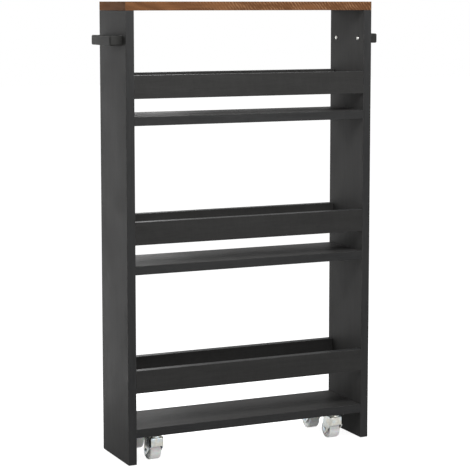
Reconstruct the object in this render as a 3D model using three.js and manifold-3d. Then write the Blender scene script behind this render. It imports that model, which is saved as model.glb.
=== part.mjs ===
// Slim rolling kitchen island cart: two side panels, a wood-look top, three shelves with a guard
// rail at the front and back of each, a bow handle on each side and four swivel casters.
// Millimetres, +Z up, +X to the cart's right, -Y to its front. The origin is on the floor, in the
// middle of the outline that the cart has with its casters trailing straight back.
import * as THREE from "three";
import { mergeVertices } from "three/addons/utils/BufferGeometryUtils.js";
import Module from "manifold-3d";

const wasm = await Module();
wasm.setup();

// Carcass
const CART_WIDTH = 560; // over the outer faces of the side panels
const CART_DEPTH = 150;
const BOARD = 18; // thickness of every board
const FLOOR_GAP = 3; // under the side panels
const SHELF_BAYS = [
  // from the floor up: clear height over the shelf, and clear slot between shelf and rail
  { level: "bottom", clear: 320.5, slot: 75 },
  { level: "middle", clear: 285.5, slot: 43 },
  { level: "top", clear: 213, slot: 36.5 },
];
const RAIL_HEIGHT = 47;

// Cam fittings that draw each shelf end up to its side panel
const CAM_RADIUS = 7.5;
const CAM_DEPTH = 12.5;
const CAM_FROM_END = 34;
const CAM_SLOT_WIDTH = 2;
const CAM_SLOT_LENGTH = 9;
const CAM_SLOT_DEPTH = 2;

// Bow handles
const HANDLE_SCREW_SPACING = 96;
const HANDLE_POST = 14; // thickness of a post along the cart's depth
const HANDLE_STANDOFF = 26; // from the panel to the outside of the grip
const HANDLE_GRIP = 8; // thickness of the grip
const HANDLE_HEIGHT = 20;
const HANDLE_DROP = 60; // from the underside of the top down to the handle's middle
const HANDLE_CORNER = 3; // outer corners, seen from above
const HANDLE_FILLET = 4; // inner corners, seen from above
const HANDLE_EDGE = 2; // rounding of the long edges
const HANDLE_SCREW_RADIUS = 2;
const HANDLE_SCREW_BITE = 9; // length of screw in the post
const HANDLE_HEAD_RADIUS = 4;
const HANDLE_HEAD_HEIGHT = 2.6;

// Casters
const CASTER_HEIGHT = 59; // floor to mounting face
const CASTER_INSET_X = 69; // swivel axis to the outer face of the side panel
const CASTER_INSET_Y = 27; // swivel axis to the front or back of the cart
const CASTER_TRAIL = 15; // swivel axis to wheel axle
const WHEEL_RADIUS = 20;
const WHEEL_WIDTH = 25;
const TREAD_ROUND = 3;
const HUB_RADIUS = 7;
const HUB_PROUD = 0.5; // hub beyond the side of the tread
const WEB_RECESS = 2.5;
const RIM_THICKNESS = 4;
const AXLE_RADIUS = 3;
const AXLE_HEAD_RADIUS = 4.5;
const AXLE_HEAD_HEIGHT = 1.7;
const FORK_WALL = 2;
const FORK_FRONT = 14; // swivel axis to the front of the fork
const FORK_BACK = 20; // swivel axis to the back edge of the fork's roof
const FORK_CORNER = 8;
const FORK_BEND = 4; // rounding between the roof and the front wall
const FORK_BOSS_RADIUS = 9; // round end of each leg, about the axle
const FORK_APRON = 17; // height of the front wall, roof included
const CUP_RADIUS = 13;
const CUP_HEIGHT = 1.8;
const PLATE_WIDTH = 42;
const PLATE_DEPTH = 36;
const PLATE_THICKNESS = 2;
const PLATE_CORNER = 4;
const PLATE_HOLE_X = 32; // hole spacings
const PLATE_HOLE_Y = 26;
const DISH_RADIUS = 10.5;
const DISH_DEPTH = 2.5;
const KINGPIN_RADIUS = 3;
const KINGPIN_LOWER_HEAD = 6;
const KINGPIN_UPPER_HEAD = 5.5;
const KINGPIN_HEAD_HEIGHT = 1.8;
const PLATE_SCREW_RADIUS = 1.75;
const PLATE_SCREW_LENGTH = 13; // below the head
const PLATE_SCREW_HEAD_RADIUS = 3.2;
const PLATE_SCREW_HEAD_HEIGHT = 1.9;

// Fits
const GAP = 0.3; // round piece to its hole, and turning piece to its seat
const SIDE_PLAY = 0.5; // wheel hub to fork leg
const HOLE_BOTTOM = 1; // free depth past the end of a screw
const OVERCUT = 1; // how far a cutter runs past the face it opens
const WELD = 1e-4; // vertices nearer than this are one

// Facets round a full turn
const FINE = 32;
const ROUND = 20;
const SMALL = 12;
const CORNER_STEPS = 4;

const innerFace = CART_WIDTH / 2 - BOARD;
const front = -CART_DEPTH / 2;
const legInner = WHEEL_WIDTH / 2 + HUB_PROUD + SIDE_PLAY;
const legOuter = legInner + FORK_WALL;
const plateBottom = CASTER_HEIGHT - PLATE_THICKNESS;
const dishBottom = plateBottom - DISH_DEPTH;
const roofTop = dishBottom - GAP - CUP_HEIGHT;
const roofBottom = roofTop - FORK_WALL;
const rearOverhang = Math.max(0, CASTER_TRAIL + WHEEL_RADIUS - CASTER_INSET_Y);

const finishes = {
  charcoal: { color: 0x45464a, roughness: 0.55, metalness: 0 },
  wood: { color: 0x7a5237, roughness: 0.5, metalness: 0 },
  blackMetal: { color: 0x36363a, roughness: 0.4, metalness: 0.5 },
  zinc: { color: 0xb4b2a8, roughness: 0.3, metalness: 1 },
  nylon: { color: 0xe0e0de, roughness: 0.45, metalness: 0 },
};

// ---- Building blocks

function solidOf(geometry) {
  const bare = geometry.index ? geometry.toNonIndexed() : geometry.clone();
  bare.deleteAttribute("normal");
  bare.deleteAttribute("uv");
  const merged = mergeVertices(bare, WELD);
  const mesh = new wasm.Mesh({
    numProp: 3,
    vertProperties: merged.attributes.position.array,
    triVerts: new Uint32Array(merged.index.array),
  });
  return new wasm.Manifold(mesh);
}

function geometryOf(solid) {
  const mesh = solid.getMesh();
  const geometry = new THREE.BufferGeometry();
  geometry.setAttribute("position", new THREE.BufferAttribute(mesh.vertProperties, 3));
  geometry.setIndex(new THREE.BufferAttribute(mesh.triVerts, 1));
  geometry.computeVertexNormals();
  return geometry;
}

function cut(geometry, cutters) {
  const whole = solidOf(geometry);
  const left = cutters.reduce((solid, cutter) => solid.subtract(solidOf(cutter)), whole);
  return geometryOf(left);
}

function join(geometries) {
  const [first, ...rest] = geometries.map(solidOf);
  return geometryOf(rest.reduce((solid, next) => solid.add(next), first));
}

function common(a, b) {
  return geometryOf(solidOf(a).intersect(solidOf(b)));
}

// A box between two opposite corners.
function box([x0, y0, z0], [x1, y1, z1]) {
  const geometry = new THREE.BoxGeometry(x1 - x0, y1 - y0, z1 - z0);
  return geometry.translate((x0 + x1) / 2, (y0 + y1) / 2, (z0 + z1) / 2);
}

// A cylinder along X from x0 to x1, about the line y, z.
function cylinderX(radius, x0, x1, y, z, facets) {
  const geometry = new THREE.CylinderGeometry(radius, radius, x1 - x0, facets);
  return geometry.rotateZ(-Math.PI / 2).translate((x0 + x1) / 2, y, z);
}

// A cylinder along Z from z0 to z1, about the line x, y.
function cylinderZ(radius, z0, z1, x, y, facets) {
  const geometry = new THREE.CylinderGeometry(radius, radius, z1 - z0, facets);
  return geometry.rotateX(Math.PI / 2).translate(x, y, (z0 + z1) / 2);
}

// A solid of revolution about Z from [radius, z] points, listed from the bottom up.
function turned(points, facets) {
  const profile = points.map(([radius, z]) => new THREE.Vector2(radius, z));
  return new THREE.LatheGeometry(profile, facets).rotateX(Math.PI / 2);
}

// A flat outline in X and Y, raised from z0 to z1.
function raised(shape, z0, z1) {
  const options = { depth: z1 - z0, bevelEnabled: false, curveSegments: CORNER_STEPS };
  return new THREE.ExtrudeGeometry(shape, options).translate(0, 0, z0);
}

function roundedRectangle(x0, y0, x1, y1, radius) {
  const shape = new THREE.Shape();
  shape.moveTo(x0 + radius, y0);
  shape.lineTo(x1 - radius, y0);
  shape.absarc(x1 - radius, y0 + radius, radius, -Math.PI / 2, 0, false);
  shape.absarc(x1 - radius, y1 - radius, radius, 0, Math.PI / 2, false);
  shape.absarc(x0 + radius, y1 - radius, radius, Math.PI / 2, Math.PI, false);
  shape.absarc(x0 + radius, y0 + radius, radius, Math.PI, Math.PI * 1.5, false);
  return shape;
}

function named(name, geometry, finish) {
  const mesh = new THREE.Mesh(geometry, new THREE.MeshStandardMaterial(finishes[finish]));
  mesh.name = name;
  return mesh;
}

// ---- Boards

// Height of each shelf's top face, from the bottom shelf up, and of the underside of the top.
function stackHeights() {
  let underside = CASTER_HEIGHT;
  const shelfTops = [];
  for (const bay of SHELF_BAYS) {
    shelfTops.push(underside + BOARD);
    underside += BOARD + bay.clear;
  }
  return { shelfTops, topUnderside: underside };
}

const { shelfTops, topUnderside } = stackHeights();
const handleZ = topUnderside - HANDLE_DROP;
const handleScrewYs = [-HANDLE_SCREW_SPACING / 2, HANDLE_SCREW_SPACING / 2];

function topBoard() {
  const corner = [-CART_WIDTH / 2, front, topUnderside];
  return box(corner, [CART_WIDTH / 2, -front, topUnderside + BOARD]);
}

// A side panel is drilled through for the two screws of its handle.
function sidePanel(side) {
  const faces = [(side * CART_WIDTH) / 2, side * innerFace].sort((a, b) => a - b);
  const panel = box([faces[0], front, FLOOR_GAP], [faces[1], -front, topUnderside]);
  const radius = HANDLE_SCREW_RADIUS + GAP;
  const holes = handleScrewYs.map((y) =>
    cylinderX(radius, faces[0] - OVERCUT, faces[1] + OVERCUT, y, handleZ, SMALL),
  );
  return cut(panel, holes);
}

const camX = innerFace - CAM_FROM_END;

// Each shelf end has a blind bore for its cam in the underside, and the bottom shelf has the
// pilot holes of the caster screws as well.
function shelf(topZ, pilotHoles) {
  const underside = topZ - BOARD;
  const board = box([-innerFace, front, underside], [innerFace, -front, topZ]);
  const bores = [-camX, camX].map((x) =>
    cylinderZ(CAM_RADIUS + GAP, underside - OVERCUT, underside + CAM_DEPTH + GAP, x, 0, ROUND),
  );
  return cut(board, [...bores, ...pilotHoles]);
}

function guardRail(atFront, bottomZ) {
  const y0 = atFront ? front : -front - BOARD;
  return box([-innerFace, y0, bottomZ], [innerFace, y0 + BOARD, bottomZ + RAIL_HEIGHT]);
}

// A cam lies flush in its bore and has a slot for the screwdriver in its lower face.
function shelfCam(x, underside) {
  const disc = cylinderZ(CAM_RADIUS, underside, underside + CAM_DEPTH, x, 0, ROUND);
  const halfLength = CAM_SLOT_LENGTH / 2;
  const halfWidth = CAM_SLOT_WIDTH / 2;
  const slotTop = underside + CAM_SLOT_DEPTH;
  const slot = box(
    [x - halfLength, -halfWidth, underside - OVERCUT],
    [x + halfLength, halfWidth, slotTop],
  );
  return cut(disc, [slot]);
}

// ---- Handles

// The handle bridges two posts. It is drawn standing out along +X from a panel at x = 0, with a
// blind hole up each post for its screw.
function bowHandle(side) {
  // The outline lies inside the handle by the edge rounding, which the extrusion adds back. Its
  // posts start behind the panel and are trimmed flush with it.
  const edge = HANDLE_EDGE;
  const end = (HANDLE_SCREW_SPACING + HANDLE_POST) / 2 - edge;
  const inside = (HANDLE_SCREW_SPACING - HANDLE_POST) / 2 + edge;
  const gripOuter = HANDLE_STANDOFF - edge;
  const gripInner = HANDLE_STANDOFF - HANDLE_GRIP + edge;
  const corner = HANDLE_CORNER - edge;
  const fillet = HANDLE_FILLET + edge;
  const foot = -HANDLE_POST;
  const quarter = Math.PI / 2;
  const bow = new THREE.Shape();
  bow.moveTo(foot, -end);
  bow.absarc(gripOuter - corner, -end + corner, corner, -quarter, 0);
  bow.absarc(gripOuter - corner, end - corner, corner, 0, quarter);
  bow.lineTo(foot, end);
  bow.lineTo(foot, inside);
  bow.absarc(gripInner - fillet, inside - fillet, fillet, quarter, 0, true);
  bow.absarc(gripInner - fillet, -inside + fillet, fillet, 0, -quarter, true);
  bow.lineTo(foot, -inside);
  const body = new THREE.ExtrudeGeometry(bow, {
    depth: HANDLE_HEIGHT - 2 * edge,
    bevelThickness: edge,
    bevelSize: edge,
    bevelSegments: 2,
    curveSegments: CORNER_STEPS,
  });
  body.translate(0, 0, edge - HANDLE_HEIGHT / 2);
  const behindPanel = box(
    [2 * foot, -2 * end, -HANDLE_HEIGHT],
    [0, 2 * end, HANDLE_HEIGHT],
  );
  const depth = HANDLE_SCREW_BITE + HOLE_BOTTOM;
  const holes = handleScrewYs.map((y) =>
    cylinderX(HANDLE_SCREW_RADIUS + GAP, -OVERCUT, depth, y, 0, SMALL),
  );
  const handle = cut(body, [behindPanel, ...holes]);
  return side > 0 ? handle : handle.rotateZ(Math.PI);
}

// A machine screw along +X, with its pan head seated against x = 0 and its shank beyond.
function handleScrew(side) {
  const reach = BOARD + HANDLE_SCREW_BITE;
  const screw = turned(
    [
      [0, -HANDLE_HEAD_HEIGHT],
      [HANDLE_HEAD_RADIUS * 0.7, -HANDLE_HEAD_HEIGHT],
      [HANDLE_HEAD_RADIUS, -HANDLE_HEAD_HEIGHT * 0.4],
      [HANDLE_HEAD_RADIUS, 0],
      [HANDLE_SCREW_RADIUS, 0],
      [HANDLE_SCREW_RADIUS, reach],
      [0, reach],
    ],
    SMALL,
  );
  return screw.rotateY((side * Math.PI) / 2);
}

// ---- Casters, drawn about the swivel axis with the floor at z = 0 and the wheel trailing to +Y

// The fork is a channel, open at the back, that the outline of its legs trims from the side.
function casterFork() {
  const back = CASTER_TRAIL + FORK_BOSS_RADIUS;
  const lowest = WHEEL_RADIUS - FORK_BOSS_RADIUS;
  const outer = roundedRectangle(-legOuter, -FORK_FRONT, legOuter, back + FORK_CORNER, FORK_CORNER);
  const inner = roundedRectangle(
    -legInner,
    FORK_WALL - FORK_FRONT,
    legInner,
    back + 2 * FORK_CORNER,
    FORK_CORNER - FORK_WALL,
  );
  const block = raised(outer, lowest, roofTop);
  const channel = cut(block, [raised(inner, lowest - OVERCUT, roofBottom)]);
  const sides = common(channel, legOutline(legOuter));
  const cup = cylinderZ(CUP_RADIUS, roofBottom, roofTop + CUP_HEIGHT, 0, 0, ROUND);
  const axleHole = cylinderX(
    AXLE_RADIUS + GAP,
    -legOuter - OVERCUT,
    legOuter + OVERCUT,
    CASTER_TRAIL,
    WHEEL_RADIUS,
    SMALL,
  );
  const pinTop = roofTop + CUP_HEIGHT + OVERCUT;
  const pinHole = cylinderZ(KINGPIN_RADIUS + GAP, roofBottom - OVERCUT, pinTop, 0, 0, SMALL);
  return cut(join([sides, cup]), [axleHole, pinHole]);
}

// The side view of the fork's legs, as a solid that reaches from -halfWidth to halfWidth in X.
function legOutline(halfWidth) {
  const apronBottom = roofTop - FORK_APRON;
  const bossSlope = Math.atan2(apronBottom - WHEEL_RADIUS, CASTER_TRAIL + FORK_FRONT);
  const backTop = FORK_BACK;
  const reach = Math.hypot(backTop - CASTER_TRAIL, roofTop - WHEEL_RADIUS);
  const lean = Math.atan2(roofTop - WHEEL_RADIUS, backTop - CASTER_TRAIL);
  const backTangent = lean - Math.acos(FORK_BOSS_RADIUS / reach);
  const frontReach = Math.hypot(CASTER_TRAIL + FORK_FRONT, apronBottom - WHEEL_RADIUS);
  const frontTangent = Math.PI - bossSlope + Math.acos(FORK_BOSS_RADIUS / frontReach);
  const side = new THREE.Shape();
  side.moveTo(-FORK_FRONT, apronBottom);
  side.absarc(
    CASTER_TRAIL,
    WHEEL_RADIUS,
    FORK_BOSS_RADIUS,
    frontTangent,
    backTangent + 2 * Math.PI,
    false,
  );
  side.lineTo(backTop, roofTop);
  side.lineTo(FORK_BEND - FORK_FRONT, roofTop);
  side.absarc(
    FORK_BEND - FORK_FRONT,
    roofTop - FORK_BEND,
    FORK_BEND,
    Math.PI / 2,
    Math.PI,
    false,
  );
  const wide = 2 * (halfWidth + OVERCUT);
  const options = { depth: wide, bevelEnabled: false, curveSegments: 2 * CORNER_STEPS };
  const solid = new THREE.ExtrudeGeometry(side, options).translate(0, 0, -wide / 2);
  // The outline's x and y become the caster's y and z.
  return solid.rotateX(Math.PI / 2).rotateZ(Math.PI / 2);
}

// The mounting plate is pressed down in the middle into the dish that the fork turns under.
function casterPlate() {
  const shape = roundedRectangle(
    -PLATE_WIDTH / 2,
    -PLATE_DEPTH / 2,
    PLATE_WIDTH / 2,
    PLATE_DEPTH / 2,
    PLATE_CORNER,
  );
  const flat = raised(shape, plateBottom, CASTER_HEIGHT);
  const dish = cylinderZ(DISH_RADIUS, dishBottom, CASTER_HEIGHT - PLATE_THICKNESS / 2, 0, 0, ROUND);
  const hollowRadius = DISH_RADIUS - PLATE_THICKNESS;
  const hollowBottom = dishBottom + PLATE_THICKNESS;
  const hollow = cylinderZ(hollowRadius, hollowBottom, CASTER_HEIGHT + OVERCUT, 0, 0, ROUND);
  const pinHole = cylinderZ(KINGPIN_RADIUS + GAP, dishBottom - OVERCUT, hollowBottom + OVERCUT, 0, 0, SMALL);
  const screwHoles = plateScrewPlaces().map(([x, y]) =>
    cylinderZ(PLATE_SCREW_RADIUS + GAP, plateBottom - OVERCUT, CASTER_HEIGHT + OVERCUT, x, y, SMALL),
  );
  return cut(join([flat, dish]), [hollow, pinHole, ...screwHoles]);
}

function plateScrewPlaces() {
  const x = PLATE_HOLE_X / 2;
  const y = PLATE_HOLE_Y / 2;
  return [
    [-x, -y],
    [x, -y],
    [x, y],
    [-x, y],
  ];
}

// The kingpin is riveted over inside the dish, and its lower head carries the fork.
function kingpin() {
  const lowerTop = roofBottom - GAP;
  const upperBottom = dishBottom + PLATE_THICKNESS + GAP;
  return turned(
    [
      [0, lowerTop - KINGPIN_HEAD_HEIGHT],
      [KINGPIN_LOWER_HEAD - 1, lowerTop - KINGPIN_HEAD_HEIGHT],
      [KINGPIN_LOWER_HEAD, lowerTop - KINGPIN_HEAD_HEIGHT / 2],
      [KINGPIN_LOWER_HEAD, lowerTop],
      [KINGPIN_RADIUS, lowerTop],
      [KINGPIN_RADIUS, upperBottom],
      [KINGPIN_UPPER_HEAD, upperBottom],
      [KINGPIN_UPPER_HEAD, upperBottom + 1],
      [0, upperBottom + 1],
    ],
    SMALL,
  );
}

// A round-headed axle, riveted over outside the legs.
function axle() {
  const seat = legOuter + GAP;
  const end = seat + AXLE_HEAD_HEIGHT;
  const crown = AXLE_HEAD_RADIUS - AXLE_HEAD_HEIGHT / 2;
  const pin = turned(
    [
      [0, -end],
      [crown, -end],
      [AXLE_HEAD_RADIUS, -seat - AXLE_HEAD_HEIGHT / 2],
      [AXLE_HEAD_RADIUS, -seat],
      [AXLE_RADIUS, -seat],
      [AXLE_RADIUS, seat],
      [AXLE_HEAD_RADIUS, seat],
      [AXLE_HEAD_RADIUS, seat + AXLE_HEAD_HEIGHT / 2],
      [crown, end],
      [0, end],
    ],
    SMALL,
  );
  return pin.rotateY(Math.PI / 2).translate(0, CASTER_TRAIL, WHEEL_RADIUS);
}

// The wheel has a round-shouldered tread, a recessed web on each side and a bored hub.
function wheel() {
  const half = WHEEL_WIDTH / 2;
  const web = half - WEB_RECESS;
  const hubEnd = half + HUB_PROUD;
  const rimInner = WHEEL_RADIUS - RIM_THICKNESS;
  const shoulder = TREAD_ROUND * (1 - Math.SQRT1_2);
  const bore = AXLE_RADIUS + GAP;
  const halfProfile = [
    [bore, hubEnd],
    [HUB_RADIUS, hubEnd],
    [HUB_RADIUS + 1, web],
    [rimInner - 1, web],
    [rimInner, half],
    [WHEEL_RADIUS - TREAD_ROUND, half],
    [WHEEL_RADIUS - shoulder, half - shoulder],
    [WHEEL_RADIUS, half - TREAD_ROUND],
  ];
  const lower = halfProfile.map(([radius, z]) => [radius, -z]);
  const profile = [...lower, ...halfProfile.reverse(), lower[0]];
  return turned(profile, FINE).rotateY(Math.PI / 2).translate(0, CASTER_TRAIL, WHEEL_RADIUS);
}

// A wood screw that points up, with its pan head seated under z = 0.
function plateScrew() {
  const tip = PLATE_SCREW_RADIUS * 2;
  return turned(
    [
      [0, -PLATE_SCREW_HEAD_HEIGHT],
      [PLATE_SCREW_HEAD_RADIUS * 0.7, -PLATE_SCREW_HEAD_HEIGHT],
      [PLATE_SCREW_HEAD_RADIUS, -PLATE_SCREW_HEAD_HEIGHT * 0.4],
      [PLATE_SCREW_HEAD_RADIUS, 0],
      [PLATE_SCREW_RADIUS, 0],
      [PLATE_SCREW_RADIUS, PLATE_SCREW_LENGTH - tip],
      [0, PLATE_SCREW_LENGTH],
    ],
    SMALL,
  );
}

// ---- Assembly

const casterPlaces = [
  { corner: "front_left", x: CASTER_INSET_X - CART_WIDTH / 2, y: front + CASTER_INSET_Y },
  { corner: "front_right", x: CART_WIDTH / 2 - CASTER_INSET_X, y: front + CASTER_INSET_Y },
  { corner: "rear_left", x: CASTER_INSET_X - CART_WIDTH / 2, y: -front - CASTER_INSET_Y },
  { corner: "rear_right", x: CART_WIDTH / 2 - CASTER_INSET_X, y: -front - CASTER_INSET_Y },
];

function pilotHoles() {
  const top = plateBottom + PLATE_SCREW_LENGTH + HOLE_BOTTOM;
  return casterPlaces.flatMap(({ x, y }) =>
    plateScrewPlaces().map(([dx, dy]) =>
      cylinderZ(PLATE_SCREW_RADIUS + GAP, CASTER_HEIGHT - OVERCUT, top, x + dx, y + dy, SMALL),
    ),
  );
}

function shelfLevel({ level, slot }, topZ) {
  const group = new THREE.Group();
  const holes = level === "bottom" ? pilotHoles() : [];
  group.add(named(`shelf_${level}`, shelf(topZ, holes), "charcoal"));
  group.add(named(`rail_${level}_front`, guardRail(true, topZ + slot), "charcoal"));
  group.add(named(`rail_${level}_back`, guardRail(false, topZ + slot), "charcoal"));
  group.add(named(`cam_${level}_left`, shelfCam(-camX, topZ - BOARD), "zinc"));
  group.add(named(`cam_${level}_right`, shelfCam(camX, topZ - BOARD), "zinc"));
  return group;
}

function sideAssembly(name, side) {
  const group = new THREE.Group();
  group.add(named(`side_panel_${name}`, sidePanel(side), "charcoal"));
  const handle = named(`handle_${name}`, bowHandle(side), "blackMetal");
  handle.position.set((side * CART_WIDTH) / 2, 0, handleZ);
  group.add(handle);
  for (const [place, y] of [
    ["front", handleScrewYs[0]],
    ["back", handleScrewYs[1]],
  ]) {
    const screw = named(`handle_screw_${name}_${place}`, handleScrew(side), "zinc");
    screw.position.set(side * innerFace, y, handleZ);
    group.add(screw);
  }
  return group;
}

function caster({ corner, x, y }) {
  const group = new THREE.Group();
  group.position.set(x, y, 0);
  group.add(named(`caster_plate_${corner}`, casterPlate(), "zinc"));
  group.add(named(`kingpin_${corner}`, kingpin(), "zinc"));
  group.add(named(`fork_${corner}`, casterFork(), "zinc"));
  group.add(named(`axle_${corner}`, axle(), "zinc"));
  group.add(named(`wheel_${corner}`, wheel(), "nylon"));
  plateScrewPlaces().forEach(([dx, dy], i) => {
    const screw = named(`caster_screw_${corner}_${i + 1}`, plateScrew(), "zinc");
    screw.position.set(dx, dy, plateBottom);
    group.add(screw);
  });
  return group;
}

const cart = new THREE.Group();
cart.position.y = -rearOverhang / 2;
cart.add(named("top_board", topBoard(), "wood"));
cart.add(sideAssembly("left", -1));
cart.add(sideAssembly("right", 1));
SHELF_BAYS.forEach((bay, i) => cart.add(shelfLevel(bay, shelfTops[i])));
casterPlaces.forEach((place) => cart.add(caster(place)));

export default cart;
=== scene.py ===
# A slim rolling kitchen cart: charcoal melamine boards, a walnut-look top, two bow handles and
# four swivel casters. Metres, +Z up, +X to the cart's right, -Y to its front, floor at z = 0.
import math

import bmesh
import bpy
from mathutils import Matrix, Vector


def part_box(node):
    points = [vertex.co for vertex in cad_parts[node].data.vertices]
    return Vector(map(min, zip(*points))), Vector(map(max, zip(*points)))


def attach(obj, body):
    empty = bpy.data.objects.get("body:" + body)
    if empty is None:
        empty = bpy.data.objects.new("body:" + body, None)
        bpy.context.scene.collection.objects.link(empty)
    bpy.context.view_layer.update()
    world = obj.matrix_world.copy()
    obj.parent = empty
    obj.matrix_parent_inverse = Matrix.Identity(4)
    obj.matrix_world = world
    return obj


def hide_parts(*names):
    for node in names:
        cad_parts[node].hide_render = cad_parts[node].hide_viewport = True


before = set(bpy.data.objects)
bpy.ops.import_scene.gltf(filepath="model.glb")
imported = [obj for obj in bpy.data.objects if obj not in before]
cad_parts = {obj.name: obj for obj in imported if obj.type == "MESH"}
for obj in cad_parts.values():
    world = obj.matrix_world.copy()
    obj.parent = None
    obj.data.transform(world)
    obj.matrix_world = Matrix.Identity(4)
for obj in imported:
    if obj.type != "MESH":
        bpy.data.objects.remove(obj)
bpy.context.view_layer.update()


# ---- Side panels
# Two upright particle boards faced with charcoal melamine. A plastic band is glued to their front
# and back edges, and each is drilled through for the two machine screws of its handle.
EDGE_BAND = 0.001
ARRIS = 0.0007  # the trimmed corner between a band and a face
DRILL_PLAY = 0.0003  # from a screw to the side of its hole
PAST = 0.001  # how far a cutter runs past the face that it opens
HANDLE_SCREW = 0.002  # radius of its shank


def middle_of(node):
    low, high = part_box(node)
    return (low + high) / 2


def block(name, low, high):
    """A plain block between two corners."""
    bpy.ops.object.select_all(action="DESELECT")
    middle, size = (Vector(low) + Vector(high)) / 2, Vector(high) - Vector(low)
    bpy.ops.mesh.primitive_cube_add(size=1, location=middle, scale=size)
    piece = bpy.context.object
    piece.name = piece.data.name = name
    bpy.ops.object.transform_apply()
    return piece


def make_active(piece):
    bpy.ops.object.select_all(action="DESELECT")
    piece.select_set(True)
    bpy.context.view_layer.objects.active = piece


def open_mesh(piece):
    """Starts work on the mesh of one piece, with nothing selected."""
    make_active(piece)
    bpy.ops.object.mode_set(mode="EDIT")
    bpy.ops.mesh.select_all(action="DESELECT")


def close_mesh():
    bpy.ops.object.mode_set(mode="OBJECT")


def pick_faces(piece, wanted):
    bpy.ops.mesh.select_mode(type="FACE")
    mesh = bmesh.from_edit_mesh(piece.data)
    for face in mesh.faces:
        face.select_set(bool(wanted(face)))
    bmesh.update_edit_mesh(piece.data)


def pick_edges(piece, wanted):
    """Selects edges by a test of their middle, direction and the angle between their faces."""
    bpy.ops.mesh.select_mode(type="EDGE")
    bpy.ops.mesh.select_all(action="DESELECT")
    mesh = bmesh.from_edit_mesh(piece.data)
    for edge in mesh.edges:
        start, end = (vertex.co for vertex in edge.verts)
        if wanted((start + end) / 2, (end - start).normalized(), edge.calc_face_angle(0)):
            edge.select_set(True)
    bmesh.update_edit_mesh(piece.data)


def sharp(middle, direction, angle):
    return angle > math.radians(50)


def settle_normals(piece, angle=35):
    """Smooths the rounded corners and keeps the broad faces flat."""
    make_active(piece)
    bpy.ops.object.shade_smooth_by_angle(angle=math.radians(angle))
    modifier = piece.modifiers.new("Flat faces", "WEIGHTED_NORMAL")
    modifier.keep_sharp = True
    bpy.ops.object.modifier_apply(modifier=modifier.name)


def rod(name, radius, start, end, facets=32):
    """A cylinder from one point to another, along X or Z."""
    bpy.ops.object.select_all(action="DESELECT")
    start, end = Vector(start), Vector(end)
    lying = abs(end.x - start.x) > abs(end.z - start.z)
    bpy.ops.mesh.primitive_cylinder_add(
        vertices=facets,
        radius=radius,
        depth=(end - start).length,
        location=(start + end) / 2,
        rotation=(0, math.pi / 2 if lying else 0, 0),
    )
    piece = bpy.context.object
    piece.name = piece.data.name = name
    bpy.ops.object.transform_apply()
    return piece


def combine(piece, tools, how):
    """Joins each tool to a piece, cuts it away, or keeps what both share, and uses the tool up."""
    for tool in tools:
        modifier = piece.modifiers.new(how.title(), "BOOLEAN")
        modifier.operation = how
        modifier.solver = "EXACT"
        modifier.object = tool
        make_active(piece)
        bpy.ops.object.modifier_apply(modifier=modifier.name)
        bpy.data.objects.remove(tool)


def board(name, node, banded):
    """A board in the place of its CAD node, with an edge band along the edges that face the banded
    axes (0 for X, 1 for Y, 2 for Z)."""
    low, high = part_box(node)
    piece = block(name, low, high)
    open_mesh(piece)
    for axis in banded:
        for seam, inward in ((low.copy(), 1), (high.copy(), -1)):
            seam[axis] += inward * EDGE_BAND
            across = [float(axis == i) for i in range(3)]
            bpy.ops.mesh.select_all(action="SELECT")
            bpy.ops.mesh.bisect(plane_co=seam, plane_no=across)
    pick_edges(piece, sharp)
    bpy.ops.mesh.bevel(offset=ARRIS, segments=3, affect="EDGES")
    close_mesh()
    worn = piece.data.attributes.new("arris", "FLOAT", "FACE")
    for face in piece.data.polygons:
        place = face.center
        on_band = any(
            not low[axis] + EDGE_BAND < place[axis] < high[axis] - EDGE_BAND for axis in banded
        )
        face.material_index = int(on_band)
        worn.data[face.index].value = float(max(map(abs, face.normal)) < 0.99)
    return piece


def node(tree, kind, inputs=None, **settings):
    """Adds a shader node. Each input is a plain value or another node's output."""
    made = tree.nodes.new("ShaderNode" + kind)
    for name, value in settings.items():
        setattr(made, name, value)
    for name, value in (inputs or {}).items():
        if isinstance(value, bpy.types.NodeSocket):
            tree.links.new(value, made.inputs[name])
        else:
            made.inputs[name].default_value = value
    return made


def noise(tree, place, scale, detail=3.0, roughness=0.5, distortion=0.0):
    values = {
        "Vector": place,
        "Scale": scale,
        "Detail": detail,
        "Roughness": roughness,
        "Distortion": distortion,
    }
    return node(tree, "TexNoise", values).outputs["Fac"]


def stretched(tree, place, scale, turn=(0, 0, 0)):
    values = {"Vector": place, "Scale": scale, "Rotation": turn}
    return node(tree, "Mapping", values).outputs[0]


def ranged(tree, value, from_low, from_high, to_low, to_high):
    """Rescales a value, and holds it between the two new ends."""
    values = {0: value, 1: from_low, 2: from_high, 3: to_low, 4: to_high}
    return node(tree, "MapRange", values).outputs[0]


def math_of(tree, operation, first, second):
    return node(tree, "Math", {0: first, 1: second}, operation=operation).outputs[0]


def mixed(tree, share, first, second):
    """Mixes two colours."""
    values = {0: share, 6: first, 7: second}
    return node(tree, "Mix", values, data_type="RGBA").outputs[2]


def bumped(tree, height, depth, strength):
    """A normal from a height of 0 to 1 that stands for depth metres."""
    values = {"Height": height, "Distance": depth, "Strength": strength}
    return node(tree, "Bump", values).outputs[0]


def shader_group(name, takes, gives):
    """Starts a node group, and returns it with its own inputs and outputs."""
    group = bpy.data.node_groups.new(name, "ShaderNodeTree")
    kinds = {"vector": "NodeSocketVector", "value": "NodeSocketFloat", "colour": "NodeSocketColor"}
    for direction, sockets in (("INPUT", takes), ("OUTPUT", gives)):
        for label, kind in sockets.items():
            group.interface.new_socket(label, in_out=direction, socket_type=kinds[kind])
    start, end = group.nodes.new("NodeGroupInput"), group.nodes.new("NodeGroupOutput")
    return group, start.outputs, end.inputs


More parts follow.
